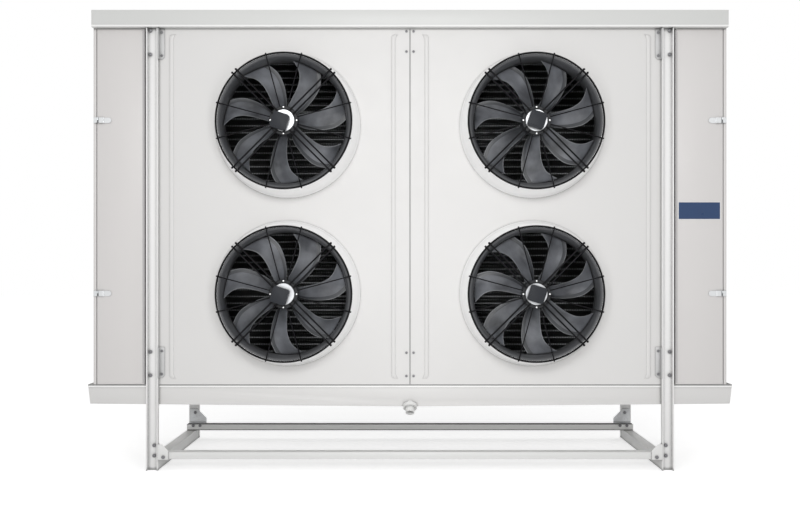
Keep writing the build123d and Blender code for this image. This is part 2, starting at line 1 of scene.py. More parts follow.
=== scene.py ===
"""Looks of an industrial walk-in unit cooler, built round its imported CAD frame.

Every length is in metres, in the frame of the CAD model: +X to the right across
the fans, +Y to the rear air intake, +Z up, with the origin on the floor.
"""

from __future__ import annotations

import logging
import math
from dataclasses import dataclass, field
from enum import Enum
from functools import cached_property
from typing import Iterable, Mapping, Sequence

import bmesh
import bpy
from mathutils import Matrix, Vector


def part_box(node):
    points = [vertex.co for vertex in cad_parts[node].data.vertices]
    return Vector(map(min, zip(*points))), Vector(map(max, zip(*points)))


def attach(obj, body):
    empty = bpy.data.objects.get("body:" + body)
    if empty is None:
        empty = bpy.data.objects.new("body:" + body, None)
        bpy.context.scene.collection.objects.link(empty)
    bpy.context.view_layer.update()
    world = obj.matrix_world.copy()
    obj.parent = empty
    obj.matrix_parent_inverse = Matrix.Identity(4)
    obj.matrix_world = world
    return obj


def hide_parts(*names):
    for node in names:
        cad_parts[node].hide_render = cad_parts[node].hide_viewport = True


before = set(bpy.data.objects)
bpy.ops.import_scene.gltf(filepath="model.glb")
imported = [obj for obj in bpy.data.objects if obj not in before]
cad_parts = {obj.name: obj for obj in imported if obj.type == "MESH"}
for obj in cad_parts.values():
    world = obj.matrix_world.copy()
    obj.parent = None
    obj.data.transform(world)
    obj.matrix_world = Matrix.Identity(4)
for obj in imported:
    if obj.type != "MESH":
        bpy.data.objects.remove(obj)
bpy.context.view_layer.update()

log = logging.getLogger("unit_cooler")

Point = tuple[float, float, float]
Colour = tuple[float, float, float]


class Side(Enum):
    """The two sides of the cooler, with the sign of their X."""

    LEFT = -1
    RIGHT = 1

    @property
    def word(self) -> str:
        """The side's name as the frame's nodes spell it."""
        return self.name.lower()


class Skin(Enum):
    """What a surface is made of, which picks the shader group for it."""

    PAINT = "paint"
    METAL = "metal"
    PLASTIC = "plastic"


# ---------------------------------------------------------------- shader groups
class Net:
    """A node tree with short calls for making and feeding its nodes."""

    def __init__(self, tree: bpy.types.NodeTree) -> None:
        """Wrap a tree."""
        self.tree = tree

    def feed(self, socket: bpy.types.NodeSocket, value: object) -> None:
        """Link a socket to another, or set it to a number or colour."""
        if isinstance(value, bpy.types.NodeSocket):
            self.tree.links.new(value, socket)
        else:
            socket.default_value = value

    def node(self, kind: str, values: Mapping[str | int, object] | None = None,
             **settings: object) -> bpy.types.Node:
        """Make a node.

        Args:
            kind: type of the node.
            values: sockets or plain values for its inputs, by name or number.
            **settings: values for its own properties.

        Returns:
            The node.
        """
        made = self.tree.nodes.new(kind)
        for name, value in settings.items():
            setattr(made, name, value)
        for socket, value in (values or {}).items():
            self.feed(made.inputs[socket], value)
        return made

    def maths(self, operation: str, first: object, second: object) -> bpy.types.NodeSocket:
        """Output of a Math node on two values."""
        return self.node("ShaderNodeMath", {0: first, 1: second}, operation=operation).outputs[0]

    def noise(self, place: object, scale: object, detail: float) -> bpy.types.NodeSocket:
        """Noise value at a place."""
        values = {"Vector": place, "Scale": scale, "Detail": detail}
        return self.node("ShaderNodeTexNoise", values).outputs[0]

    def cells(self, place: object, scale: object) -> bpy.types.NodeSocket:
        """Random value of the crystal cell at a place."""
        cell = self.node("ShaderNodeTexVoronoi", {"Vector": place, "Scale": scale})
        return self.node("ShaderNodeSeparateColor", {0: cell.outputs["Color"]}).outputs[0]

    def part(self, vector: object, axis: str) -> bpy.types.NodeSocket:
        """One part of a vector."""
        return self.node("ShaderNodeSeparateXYZ", {0: vector}).outputs[axis]

    def spread(self, value: object, low: float, high: float,
               start: float = 0.0, end: float = 1.0) -> bpy.types.NodeSocket:
        """Value spread from low..high to start..end and clamped."""
        values = {"Value": value, "From Min": low, "From Max": high, "To Min": start,
                  "To Max": end}
        return self.node("ShaderNodeMapRange", values).outputs[0]

    def mix(self, share: object, first: object, second: object) -> bpy.types.NodeSocket:
        """Colour mixed from first to second by share."""
        return self.node("ShaderNodeMix", {0: share, 6: first, 7: second},
                         data_type="RGBA").outputs[2]

    def scale_colour(self, colour: object, amount: object) -> bpy.types.NodeSocket:
        """Colour times a value."""
        return self.node("ShaderNodeVectorMath", {0: colour, "Scale": amount},
                         operation="SCALE").outputs[0]

    def upward_mask(self) -> bpy.types.NodeSocket:
        """One on faces that look up, where dust settles, and zero elsewhere."""
        shape = self.node("ShaderNodeNewGeometry")
        return self.spread(self.part(shape.outputs["Normal"], "Z"), 0.3, 0.95)

    def seen_directly(self) -> bpy.types.NodeSocket:
        """One for rays from the camera, or by way of gloss or glass."""
        rays = self.node("ShaderNodeLightPath").outputs
        glossy = self.maths("MAXIMUM", rays["Is Camera Ray"], rays["Is Glossy Ray"])
        return self.maths("MAXIMUM", glossy, rays["Is Transmission Ray"])


def new_group(name: str, inputs: Mapping[str, object],
              outputs: Sequence[str]
              ) -> tuple[Net, bpy.types.NodeOutputs, bpy.types.NodeInputs]:
    """Make an empty shader node group with its sockets.

    Args:
        name: name of the group.
        inputs: default value of each input by name: None for a vector, four
            numbers for a colour, one number for a value.
        outputs: names of the outputs, of which Colour is a colour.

    Returns:
        The group's tree in a Net, the sockets that hold what the group is
        given, and those that take what it puts out.
    """
    tree = bpy.data.node_groups.new(name, "ShaderNodeTree")
    for label, value in inputs.items():
        kind = "Vector" if value is None else "Color" if isinstance(value, tuple) else "Float"
        socket = tree.interface.new_socket(label, in_out="INPUT", socket_type="NodeSocket" + kind)
        if value is not None:
            socket.default_value = value
    for label in outputs:
        kind = "Color" if label == "Colour" else "Float"
        tree.interface.new_socket(label, in_out="OUTPUT", socket_type="NodeSocket" + kind)
    given = tree.nodes.new("NodeGroupInput").outputs
    sink = tree.nodes.new("NodeGroupOutput").inputs
    return Net(tree), given, sink


class ShaderLibrary:
    """Node groups for the surface effects that several finishes share."""

    @cached_property
    def coat(self) -> bpy.types.ShaderNodeTree:
        """Group for paint and moulded plastic: tone drift, settled dust, fine grain."""
        net, given, sink = new_group(
            "coat_skin",
            {"Place": None, "Tone": (0.8, 0.8, 0.8, 1.0), "Dust Tone": (0.6, 0.58, 0.55, 1.0),
             "Drift": 0.04, "Drift Scale": 1.7, "Dust": 0.1, "Grain Scale": 500.0,
             "Roughness": 0.45},
            ("Colour", "Roughness", "Height"))
        drift = net.noise(given["Place"], given["Drift Scale"], 4.0)
        patch = net.noise(given["Place"], 14.0, 5.0)
        grain = net.noise(given["Place"], given["Grain Scale"], 2.0)
        swing = net.maths("MULTIPLY", net.maths("SUBTRACT", drift, 0.5), given["Drift"])
        toned = net.scale_colour(given["Tone"], net.maths("ADD", swing, 1.0))
        up = net.upward_mask()
        settled = net.maths("MULTIPLY", net.maths("MULTIPLY", up, patch), given["Dust"])
        wander = net.maths("MULTIPLY", net.maths("SUBTRACT", patch, 0.5), 0.16)
        rough = net.maths("ADD", given["Roughness"], wander)
        net.feed(sink["Colour"], net.mix(settled, toned, given["Dust Tone"]))
        net.feed(sink["Roughness"], net.maths("ADD", rough, net.maths("MULTIPLY", settled, 0.4)))
        net.feed(sink["Height"], grain)
        return net.tree

    @cached_property
    def metal(self) -> bpy.types.ShaderNodeTree:
        """Group for bare metal: crystal spangle, blots of tarnish and fine grain."""
        net, given, sink = new_group(
            "metal_skin",
            {"Place": None, "Tone": (0.6, 0.6, 0.6, 1.0), "Tarnish Tone": (0.4, 0.4, 0.4, 1.0),
             "Spangle": 0.1, "Spangle Scale": 60.0, "Tarnish": 0.2, "Roughness": 0.4},
            ("Colour", "Roughness", "Height"))
        cells = net.cells(given["Place"], given["Spangle Scale"])
        blot = net.noise(given["Place"], 7.0, 6.0)
        swing = net.maths("MULTIPLY", net.maths("SUBTRACT", cells, 0.5), given["Spangle"])
        toned = net.scale_colour(given["Tone"], net.maths("ADD", swing, 1.0))
        dull = net.maths("MULTIPLY", net.spread(blot, 0.42, 0.72), given["Tarnish"])
        rough = net.maths("ADD", given["Roughness"], net.maths("MULTIPLY", swing, 0.6))
        net.feed(sink["Colour"], net.mix(dull, toned, given["Tarnish Tone"]))
        net.feed(sink["Roughness"], net.maths("ADD", rough, net.maths("MULTIPLY", dull, 0.25)))
        net.feed(sink["Height"], net.noise(given["Place"], 320.0, 3.0))
        return net.tree

    @cached_property
    def corner_shade_group(self) -> bpy.types.ShaderNodeTree:
        """Group for painted shade: darkening in folds, laps and corners."""
        net, given, sink = new_group("crevice_grime", {"Openness": 1.0, "Grime": 0.4}, ("Shade",))
        shut = net.maths("SUBTRACT", 1.0, net.spread(given["Openness"], 0.42, 0.93))
        shade = net.maths("SUBTRACT", 1.0, net.maths("MULTIPLY", shut, given["Grime"]))
        net.feed(sink["Shade"], shade)
        return net.tree


LIBRARY = ShaderLibrary()


# ---------------------------------------------------------------- finishes
@dataclass(frozen=True)
class Finish:
    """One finish of the cooler: its record slot and how its surface looks.

    The second tone is that of dust on a coat and of tarnish on metal, and the
    dust value is the share of either. The corner shade is painted shade: it
    darkens corners and gaps within the reach, by ambient occlusion.
    The depth shade is painted shade: it gives two places in depth and how dark
    the first of them is, for parts that lie in shadow towards the first place.
    """

    name: str
    slot: str
    skin: Skin
    tone: Colour
    second: Colour = (0.5, 0.49, 0.47)
    roughness: float = 0.45
    metallic: float = 0.0
    drift: float = 0.05
    drift_scale: float = 1.7
    dust: float = 0.12
    grain: float = 500.0
    bump: float = 0.04
    bump_depth: float = 0.0004
    spangle: float = 0.1
    spangle_scale: float = 60.0
    coat: float = 0.0
    specular: float = 0.5
    grime: float = 0.45
    reach: float = 0.014
    fade: tuple[float, float, float] | None = None

    def material(self) -> bpy.types.Material:
        """Build the finish's material once and hand it out again after that.

        Returns:
            The material.
        """
        found = bpy.data.materials.get(self.name)
        if found is not None:
            return found
        made = bpy.data.materials.new(self.name)
        made.use_nodes = True
        net = Net(made.node_tree)
        place = net.node("ShaderNodeTexCoord").outputs["Object"]
        skin = self._skin(net, place)
        bump = net.node("ShaderNodeBump", {"Strength": self.bump, "Distance": self.bump_depth,
                                           "Height": skin["Height"]})
        colour = skin["Colour"]
        # Painted shade: the colour darkens towards the first place in depth.
        if self.fade is not None:
            near, far, least = self.fade
            depth = net.spread(net.part(place, "Y"), near, far, least)
            colour = net.scale_colour(colour, depth)
        # Painted shade: ambient occlusion darkens the colour in corners, laps and gaps.
        if self.grime:
            gap = net.node("ShaderNodeAmbientOcclusion", {"Distance": self.reach}, samples=6)
            corner = net.node("ShaderNodeGroup", {"Openness": gap.outputs["AO"],
                                                  "Grime": self.grime}, node_tree=LIBRARY.corner_shade_group)
            colour = net.scale_colour(colour, corner.outputs["Shade"])
        values = {"Base Color": colour, "Roughness": skin["Roughness"],
                  "Normal": bump.outputs["Normal"], "Metallic": self.metallic,
                  "Coat Weight": self.coat, "Specular IOR Level": self.specular}
        for socket, value in values.items():
            net.feed(made.node_tree.nodes["Principled BSDF"].inputs[socket], value)
        return made

    def _skin(self, net: Net, place: bpy.types.NodeSocket) -> bpy.types.NodeOutputs:
        """Place the group of the finish's skin in its material.

        Args:
            net: the material's node tree.
            place: socket with the place on the object.

        Returns:
            The outputs of the group.
        """
        values = {"Place": place, "Tone": (*self.tone, 1.0), "Roughness": self.roughness}
        second = (*self.second, 1.0)
        if self.skin is Skin.METAL:
            values |= {"Tarnish Tone": second, "Tarnish": self.dust, "Spangle": self.spangle,
                       "Spangle Scale": self.spangle_scale}
            return net.node("ShaderNodeGroup", values, node_tree=LIBRARY.metal).outputs
        values |= {"Dust Tone": second, "Drift": self.drift, "Drift Scale": self.drift_scale,
                   "Dust": self.dust, "Grain Scale": self.grain}
        return net.node("ShaderNodeGroup", values, node_tree=LIBRARY.coat).outputs


# In these finishes the amount that darkens corners and gaps is painted shade.
WHITE_SHEET = Finish("white_sheet_paint", "white_sheet", Skin.PAINT, (0.705, 0.697, 0.688),
                     roughness=0.42, bump=0.05, grime=0.5)
# Whiter than the sheets: painted highlight on the hems, and painted light that lifts the rear cross
# beam out of its shade.
HIGHLIGHT_WHITE = Finish("painted_highlight_white", "white_sheet", Skin.PAINT, (0.90, 0.90, 0.89),
                    roughness=0.36, grime=0.2)
# Painted shade: dark grey for the grooves at the panel seam and the pan's rim.
JOINT_SHADE_GREY = Finish("joint_painted_shade", "white_sheet", Skin.PLASTIC, (0.25, 0.25, 0.25),
                    roughness=0.6, grime=0.3)
# Painted shadow: grey strip where the front post's shadow falls on the door's edge.
DOOR_EDGE_SHADOW = Finish("door_edge_strip", "white_sheet", Skin.PLASTIC, (0.47, 0.46, 0.46),
                   roughness=0.5, grime=0.3)
BOLT_DARK = Finish("bolt_head_steel", "zinc", Skin.METAL, (0.20, 0.20, 0.21),
                   (0.10, 0.10, 0.10), roughness=0.42, metallic=0.4, dust=0.3, grime=0.8,
                   reach=0.008)
BRACKET_GREY = Finish("bracket_paint", "frame_white", Skin.PAINT, (0.56, 0.56, 0.56),
                      roughness=0.4, grime=0.75, reach=0.018)
BEAM_WHITE = Finish("beam_white_paint", "frame_white", Skin.PAINT, (0.76, 0.76, 0.75),
                    roughness=0.4, grime=0.6, reach=0.02)
# Painted shadow: black for the rear beam's top and foot, which lie in shade.
BEAM_SHADOW_BLACK = Finish("beam_painted_shadow", "box_black", Skin.PLASTIC, (0.03, 0.03, 0.03),
                     roughness=0.7, grime=0.0, specular=0.2)
COLLAR_WHITE = Finish("collar_white_moulding", "collar_white", Skin.PLASTIC, (0.97, 0.97, 0.97),
                      roughness=0.34, drift=0.02, coat=0.5, grime=0.0)
COLLAR_DARK = Finish("collar_mouth_dark", "guard_black", Skin.PLASTIC, (0.066, 0.068, 0.073),
                     roughness=0.36, drift=0.25, dust=0.05)
DOOR_WHITE = Finish("door_white_paint", "white_sheet", Skin.PAINT, (0.69, 0.67, 0.66),
                    roughness=0.42, bump=0.05)
COVER_WHITE = Finish("cover_white_paint", "white_sheet", Skin.PAINT, (0.675, 0.68, 0.667),
                     roughness=0.42, bump=0.05)
FRAME_WHITE = Finish("frame_white_paint", "frame_white", Skin.PAINT, (0.86, 0.855, 0.85),
                     roughness=0.4, grime=0.75, reach=0.02)
GALVANISED = Finish("galvanised_steel", "galvanised", Skin.METAL, (0.62, 0.63, 0.64),
                    (0.42, 0.43, 0.44), roughness=0.48, metallic=0.7, dust=0.35,
                    spangle=0.16, spangle_scale=90.0)
GUARD_BLACK = Finish("guard_black_coat", "guard_black", Skin.PAINT, (0.005, 0.005, 0.006),
                     roughness=0.5, dust=0.0, drift=0.02, specular=0.12)
# The strong, fine tone drift on the blades is painted sheen: lighter and darker patches that stand
# in for highlights.
BLADE_GREY = Finish("blade_moulding", "blade_grey", Skin.PLASTIC, (0.130, 0.136, 0.150),
                    (0.12, 0.12, 0.115), roughness=0.34, drift=3.0, drift_scale=7.0, dust=0.15,
                    grain=900.0, bump=0.08, coat=0.35)
# Painted shade: darker band along the blade's leading margin.
BLADE_SHADED_MARGIN = Finish("blade_margin_painted_shade", "blade_grey", Skin.PLASTIC, (0.040, 0.043, 0.048),
                      roughness=0.4, drift=1.2, drift_scale=7.0, dust=0.1)
# Painted highlight: light band along the blade's edges.
BLADE_RIM_HIGHLIGHT = Finish("blade_rim", "blade_grey", Skin.PLASTIC, (0.24, 0.25, 0.26),
                   roughness=0.32, drift=1.2, drift_scale=12.0, dust=0.1)
MOTOR_GREY = Finish("motor_casting", "motor_grey", Skin.METAL, (0.014, 0.015, 0.017),
                    (0.006, 0.006, 0.007), roughness=0.45, metallic=0.1, dust=0.3, specular=0.3)
MOTOR_SILVER = Finish("motor_cap_silver", "zinc", Skin.METAL, (0.66, 0.67, 0.69),
                      (0.6, 0.61, 0.62), roughness=0.34, metallic=0.75, dust=0.15, spangle=0.05)
SCREW_BRIGHT = Finish("bright_screw_heads", "zinc", Skin.METAL, (0.92, 0.92, 0.92),
                      (0.8, 0.8, 0.8), roughness=0.3, metallic=0.5, dust=0.05, spangle=0.02)
BOX_BLACK = Finish("box_moulding", "box_black", Skin.PLASTIC, (0.017, 0.019, 0.024),
                   roughness=0.5, grain=1400.0, bump=0.12, specular=0.25)
HINGE_STEEL = Finish("hinge_steel", "hinge_steel", Skin.METAL, (0.66, 0.66, 0.66),
                     (0.45, 0.45, 0.45), roughness=0.38, metallic=0.8, dust=0.25)
# Painted shade on the fins: darker towards the front, where the chamber behind the fans lies in
# shadow.
FIN_METAL = Finish("fin_aluminium", "fins", Skin.METAL, (0.60, 0.61, 0.62),
                   (0.42, 0.43, 0.43), roughness=0.42, metallic=0.4, dust=0.3,
                   fade=(0.10, 0.40, 0.22))
# Fin collars round the tubes: their own light metal, toned near white as painted highlight lines in
# the dark coil.
TUBE_HIGHLIGHT_METAL = Finish("tube_collars_and_highlight", "fins", Skin.METAL, (0.90, 0.93, 0.96), (0.6, 0.62, 0.64),
                    roughness=0.35, metallic=0.1, dust=0.2)
COPPER = Finish("copper_tube", "copper", Skin.METAL, (0.62, 0.30, 0.17), (0.30, 0.16, 0.10),
                roughness=0.35, metallic=0.9, dust=0.45, spangle=0.06)
OUTLET_WHITE = Finish("outlet_white_paint", "outlet_white", Skin.PAINT, (0.76, 0.76, 0.75),
                      roughness=0.4)
PLATE_BLUE = Finish("plate_blue_enamel", "white_sheet", Skin.PAINT, (0.010, 0.042, 0.125),
                    roughness=0.3, drift=0.04, dust=0.02, bump=0.01)
PLATE_WHITE = Finish("plate_white_edge", "white_sheet", Skin.PAINT, (0.86, 0.86, 0.86),
                     roughness=0.35, drift=0.02, dust=0.02)


# ---------------------------------------------------------------- mesh work
@dataclass
class Shape:
    """Points and faces that grow piece by piece and become one mesh object."""

    points: list[Point] = field(default_factory=list)
    faces: list[tuple[int, ...]] = field(default_factory=list)
    marks: list[int] = field(default_factory=list)

    def add(self, points: Iterable[Sequence[float]], faces: Iterable[Sequence[int]],
            mark: int = 0) -> None:
        """Add points and faces, with the finish index of the faces."""
        new = [tuple(p) for p in points]
        start = len(self.points) if new else 0
        self.points.extend(new)
        for face in faces:
            self.faces.append(tuple(start + i for i in face))
            self.marks.append(mark)

    def merge(self, other: Shape, matrix: Matrix = Matrix.Identity(4)) -> None:
        """Add another shape, moved by a matrix."""
        start = len(self.points)
        self.points.extend(tuple(matrix @ Vector(p)) for p in other.points)
        self.faces.extend(tuple(start + i for i in face) for face in other.faces)
        self.marks.extend(other.marks)

    def box(self, low: Sequence[float], high: Sequence[float], mark: int = 0) -> None:
        """Add a closed box between two corners."""
        (x0, y0, z0), (x1, y1, z1) = low, high
        self.add([(x0, y0, z0), (x1, y0, z0), (x1, y1, z0), (x0, y1, z0),
                  (x0, y0, z1), (x1, y0, z1), (x1, y1, z1), (x0, y1, z1)],
                 [(0, 3, 2, 1), (4, 5, 6, 7), (0, 1, 5, 4), (1, 2, 6, 5), (2, 3, 7, 6),
                  (3, 0, 4, 7)], mark)

    def lathe(self, profile: Sequence[tuple[float, float]], segments: int,
              marks: Sequence[int] | None = None) -> None:
        """Add a closed profile of radius and height turned round local Z.

        Args:
            profile: corner points, counter-clockwise in the radius and height plane.
            segments: how many steps the turn has.
            marks: finish index of each side of the profile, or None for zero.
        """
        count = len(profile)
        start = len(self.points)
        for step in range(segments):
            angle = 2 * math.pi * step / segments
            self.points.extend((r * math.cos(angle), r * math.sin(angle), z) for r, z in profile)
        for index in range(count):
            after = (index + 1) % count
            for step in range(segments):
                here = start + step * count
                there = start + (step + 1) % segments * count
                self.faces.append((here + index, there + index, there + after, here + after))
            self.marks.extend([marks[index] if marks else 0] * segments)

    def tube(self, path: Sequence[Sequence[float]], radius: float, sides: int = 8,
             closed: bool = False, mark: int = 0) -> None:
        """Add a round wire or pipe along a path.

        Args:
            path: centre points in order.
            radius: radius of the wire.
            sides: corners of its section.
            closed: whether the last point joins the first.
            mark: finish index of its faces.
        """
        line = [Vector(p) for p in path]
        count = len(line)
        rings: list[list[Vector]] = []
        side = None
        for index, here in enumerate(line):
            ahead = line[(index + 1) % count] if closed or index < count - 1 else here
            behind = line[index - 1] if closed or index else here
            along = (ahead - behind).normalized()
            if side is None:
                side = along.orthogonal().normalized()
            side = (side - along * side.dot(along)).normalized()
            across = along.cross(side)
            rings.append([here + radius * (math.cos(a) * side + math.sin(a) * across)
                          for a in (2 * math.pi * k / sides for k in range(sides))])
        faces = []
        for index in range(count if closed else count - 1):
            here = index * sides
            there = (index + 1) % count * sides
            for k in range(sides):
                n = (k + 1) % sides
                faces.append((here + k, here + n, there + n, there + k))
        if not closed:
            faces.append(tuple(reversed(range(sides))))
            faces.append(tuple(range((count - 1) * sides, count * sides)))
        self.add([tuple(p) for ring in rings for p in ring], faces, mark)

    def prism(self, outline: Sequence[tuple[float, float]], low: float, high: float,
              mark: int = 0) -> None:
        """Add a flat outline in local X and Y, raised from low to high along Z."""
        count = len(outline)
        self.add([(x, y, low) for x, y in outline] + [(x, y, high) for x, y in outline],
                 [tuple(reversed(range(count))), tuple(range(count, 2 * count))]
                 + [(k, (k + 1) % count, (k + 1) % count + count, k + count)
                    for k in range(count)], mark)

    def piece(self, name: str, finishes: Sequence[Finish], body: str, *replaced: str,
              matrix: Matrix = Matrix.Identity(4), bevel: float = 0.0, sharp: float = 35.0,
              segments: int = 2) -> bpy.types.Object:
        """Turn the shape into a named object that rides on a CAD body.

        Args:
            name: name of the piece.
            finishes: finishes in the order of the face marks.
            body: CAD body that it moves with.
            *replaced: CAD nodes that it stands for.
            matrix: place of the shape in the row frame.
            bevel: width of the rounding on its sharp edges.
            sharp: angle in degrees above which an edge stays sharp.
            segments: steps of the rounding.

        Returns:
            The object.
        """
        mesh = bpy.data.meshes.new(name)
        mesh.from_pydata(self.points, [], self.faces)
        mesh.polygons.foreach_set("material_index", self.marks)
        mesh.transform(matrix)
        for finish in finishes:
            mesh.materials.append(finish.material())
        made = bpy.data.objects.new(name, mesh)
        bpy.context.scene.collection.objects.link(made)
        dress(made, bevel, sharp, segments)
        enrol(made, finishes[0], body, *replaced)
        return made


def enrol(made: bpy.types.Object, finish: Finish, body: str, *replaced: str) -> None:
    """Tie a piece to its body and the CAD nodes that it stands for.

    Args:
        made: the piece.
        finish: not used.
        body: CAD body that the piece moves with.
        *replaced: CAD nodes that it stands for.
    """
    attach(made, body)
    if replaced:
        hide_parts(*replaced)
    log.info("%s: %d faces on %s", made.name, len(made.data.polygons), body)


def dress(made: bpy.types.Object, bevel: float, sharp: float, segments: int) -> None:
    """Round a mesh's sharp edges, then shade it smooth up to an angle.

    Args:
        made: the object whose mesh is worked on.
        bevel: width of the rounding, or zero for none.
        sharp: angle in degrees above which an edge counts as sharp.
        segments: steps of the rounding.
    """
    limit = math.radians(sharp)
    work = bmesh.new()
    work.from_mesh(made.data)
    bmesh.ops.recalc_face_normals(work, faces=work.faces)
    if bevel:
        edges = [e for e in work.edges
                 if len(e.link_faces) == 2 and e.calc_face_angle(0.0) > limit]
        bmesh.ops.bevel(work, geom=edges, offset=bevel, offset_type="OFFSET",
                        segments=segments, profile=0.5, affect="EDGES", clamp_overlap=True)
    for face in work.faces:
        face.smooth = True
    for edge in work.edges:
        edge.smooth = len(edge.link_faces) == 2 and edge.calc_face_angle(0.0) < limit
    work.to_mesh(made.data)
    work.free()


def soften(node: str, finish: Finish, body: str, width: float = 0.0012) -> bpy.types.Object:
    """Stand a copy of a folded sheet piece in its place, with rounded folds.

    Args:
        node: CAD node that the copy stands for.
        finish: finish of the copy.
        body: CAD body of the node.
        width: width of the rounding.

    Returns:
        The copy.
    """
    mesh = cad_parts[node].data.copy()
    mesh.materials.clear()
    mesh.materials.append(finish.material())
    made = bpy.data.objects.new(node + ".formed", mesh)
    bpy.context.scene.collection.objects.link(made)
    work = bmesh.new()
    work.from_mesh(mesh)
    for layer in list(work.loops.layers.uv.values()):
        work.loops.layers.uv.remove(layer)
    bmesh.ops.remove_doubles(work, verts=work.verts, dist=0.00002)
    bmesh.ops.dissolve_limit(work, angle_limit=math.radians(1.0), verts=work.verts,
                             edges=work.edges)
    for face in work.faces:
        face.material_index = 0
    work.to_mesh(mesh)
    work.free()
    dress(made, width, 35.0, 2)
    enrol(made, finish, body, node)
    return made


def paint(node: str, finish: Finish) -> None:
    """Give a CAD node that stays as it is its finish."""
    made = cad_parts[node]
    for part in made.material_slots:
        part.material = finish.material()
    log.info("%s: %s", node, finish.name)


# ---------------------------------------------------------------- fans
@dataclass
class Fan:
    """One fan: collar, wire guard, motor and impeller."""

    word: str
    x: float
    z: float
    turn: float
    box_shift: tuple[float, float]
    casing_front: float = -0.445
    throat: float = 0.319
    base: float = 0.386
    lip: float = 0.352
    mouth: float = 0.345
    rise: float = 0.160
    throat_depth: float = 0.058
    inlet_depth: float = 0.060
    inlet_flare: float = 0.026
    foot_gap: float = 0.0005
    foot_wall: float = 0.004
    foot_height: float = 0.012
    cone_bulge: float = 0.004
    lip_roll: float = 0.0025
    ring: float = 0.350
    ring_wire: float = 0.0050
    ring_wire_seat: float = 0.004
    arm_wire: float = 0.0044
    arm_gap: float = 0.026
    arm_start: float = 0.060
    arm_over: float = 0.013
    arm_knob: float = 0.0062
    spoke_wire: float = 0.0030
    spoke_knob: float = 0.0046
    spoke_rise: float = 0.001
    flange: float = 0.075
    flange_wall: float = 0.016
    screw_circle: float = 0.068
    cap: float = 0.056
    cap_wall: float = 0.004
    box_side: float = 0.084
    box_rise: float = 0.036
    box_corner: float = 0.013
    box_split: float = 0.020
    box_split_width: float = 0.0016
    box_panel_inset: float = 0.009
    box_screw_inset: float = 0.0052
    shaft: float = 0.012
    box_turn: float = -18.0
    blades: int = 7
    tip: float = 0.315
    root: float = 0.066
    rotor: float = 0.072
    rotor_low: float = 0.064
    rotor_high: float = 0.148
    tooth: float = 0.0022
    rows: int = 84
    belly: float = 0.10
    rim: float = 0.0016
    groove: float = 0.0010

    @property
    def place(self) -> Matrix:
        """Frame of the fan: local Z points forward out of the casing."""
        turn = Matrix(((1, 0, 0), (0, 0, -1), (0, 1, 0))).to_4x4()
        return Matrix.Translation((self.x, self.casing_front, self.z)) @ turn

    @property
    def arm_height(self) -> float:
        """Height of the arms' centre above the casing front."""
        return self.rise + 2 * self.ring_wire_seat + self.arm_wire

    def build(self) -> None:
        """Build every piece of the fan."""
        self.collar()
        self.guard()
        self.motor()
        self.terminal_box()
        self.impeller()

    def collar(self) -> bpy.types.Object:
        """White cone with a rolled lip and a dark inner mouth.

        Returns:
            The collar.
        """
        rise, roll, foot = self.rise, self.lip_roll, self.foot_gap
        wall = self.foot_wall
        outside = [(self.throat + self.inlet_flare, foot), (self.base, foot), (self.base, wall),
                   (self.base - wall, self.foot_height)]
        for step in range(1, 9):
            share = step / 9
            bulge = self.cone_bulge * math.sin(math.pi * share)
            outside.append((self.base - wall + (self.lip + 0.003 - self.base) * share + bulge,
                            self.foot_height + (rise - wall - self.foot_height) * share))
        outside += [(self.lip, rise - roll), (self.lip - roll, rise), (self.mouth, rise)]
        inside = []
        for step in range(1, 9):
            angle = math.pi / 2 * step / 8
            inside.append((self.mouth - (self.mouth - self.throat) * math.sin(angle),
                           rise - self.throat_depth * (1 - math.cos(angle))))
        for step in range(6):
            share = step / 6
            inside.append((self.throat + self.inlet_flare * share ** 1.3,
                           self.inlet_depth * (1 - share) + foot * share))
        profile = outside + inside
        marks = [0] * (len(outside) - 1) + [1] * (len(inside) + 1)
        shape = Shape()
        shape.lathe(profile, 128, marks)
        return shape.piece(f"collar_{self.word}", (COLLAR_WHITE, COLLAR_DARK), "root",
                           f"fan_collar_{self.word}", matrix=self.place)

    def guard(self) -> bpy.types.Object:
        """Ring wire, four double arms with knobs, and eight spokes.

        Returns:
            The guard.
        """
        shape = Shape()
        level = self.rise + self.ring_wire_seat
        circle = [(self.ring * math.cos(a), self.ring * math.sin(a), level)
                  for a in (2 * math.pi * k / 120 for k in range(120))]
        shape.tube(circle, self.ring_wire, 10, closed=True)
        height = self.arm_height
        end = self.ring + self.arm_over
        for angle in (45, 135, 225, 315):
            turned = Matrix.Rotation(math.radians(angle), 4, "Z")
            for offset in (-self.arm_gap / 2, self.arm_gap / 2):
                arm = Shape()
                arm.tube([(self.arm_start, offset, height), (end - 0.004, offset, height)],
                         self.arm_wire, 10)
                arm.merge(knob(self.arm_knob), Matrix.Translation((end - 0.0052, offset, height)))
                shape.merge(arm, turned)
        seat = level + self.spoke_rise
        for angle in (15, 75, 105, 165, 195, 255, 285, 345):
            turned = Matrix.Rotation(math.radians(angle), 4, "Z")
            spoke = Shape()
            spoke.tube([(self.flange - 0.004, 0, seat), (self.ring, 0, level + 0.004),
                        (self.ring + 0.004, 0, seat)], self.spoke_wire, 8)
            spoke.merge(knob(self.spoke_knob), Matrix.Translation((self.ring + 0.0065, 0, level)))
            shape.merge(spoke, turned)
        return shape.piece(f"guard_{self.word}", (GUARD_BLACK,), "root",
                           f"fan_guard_{self.word}", matrix=self.place, sharp=50.0)

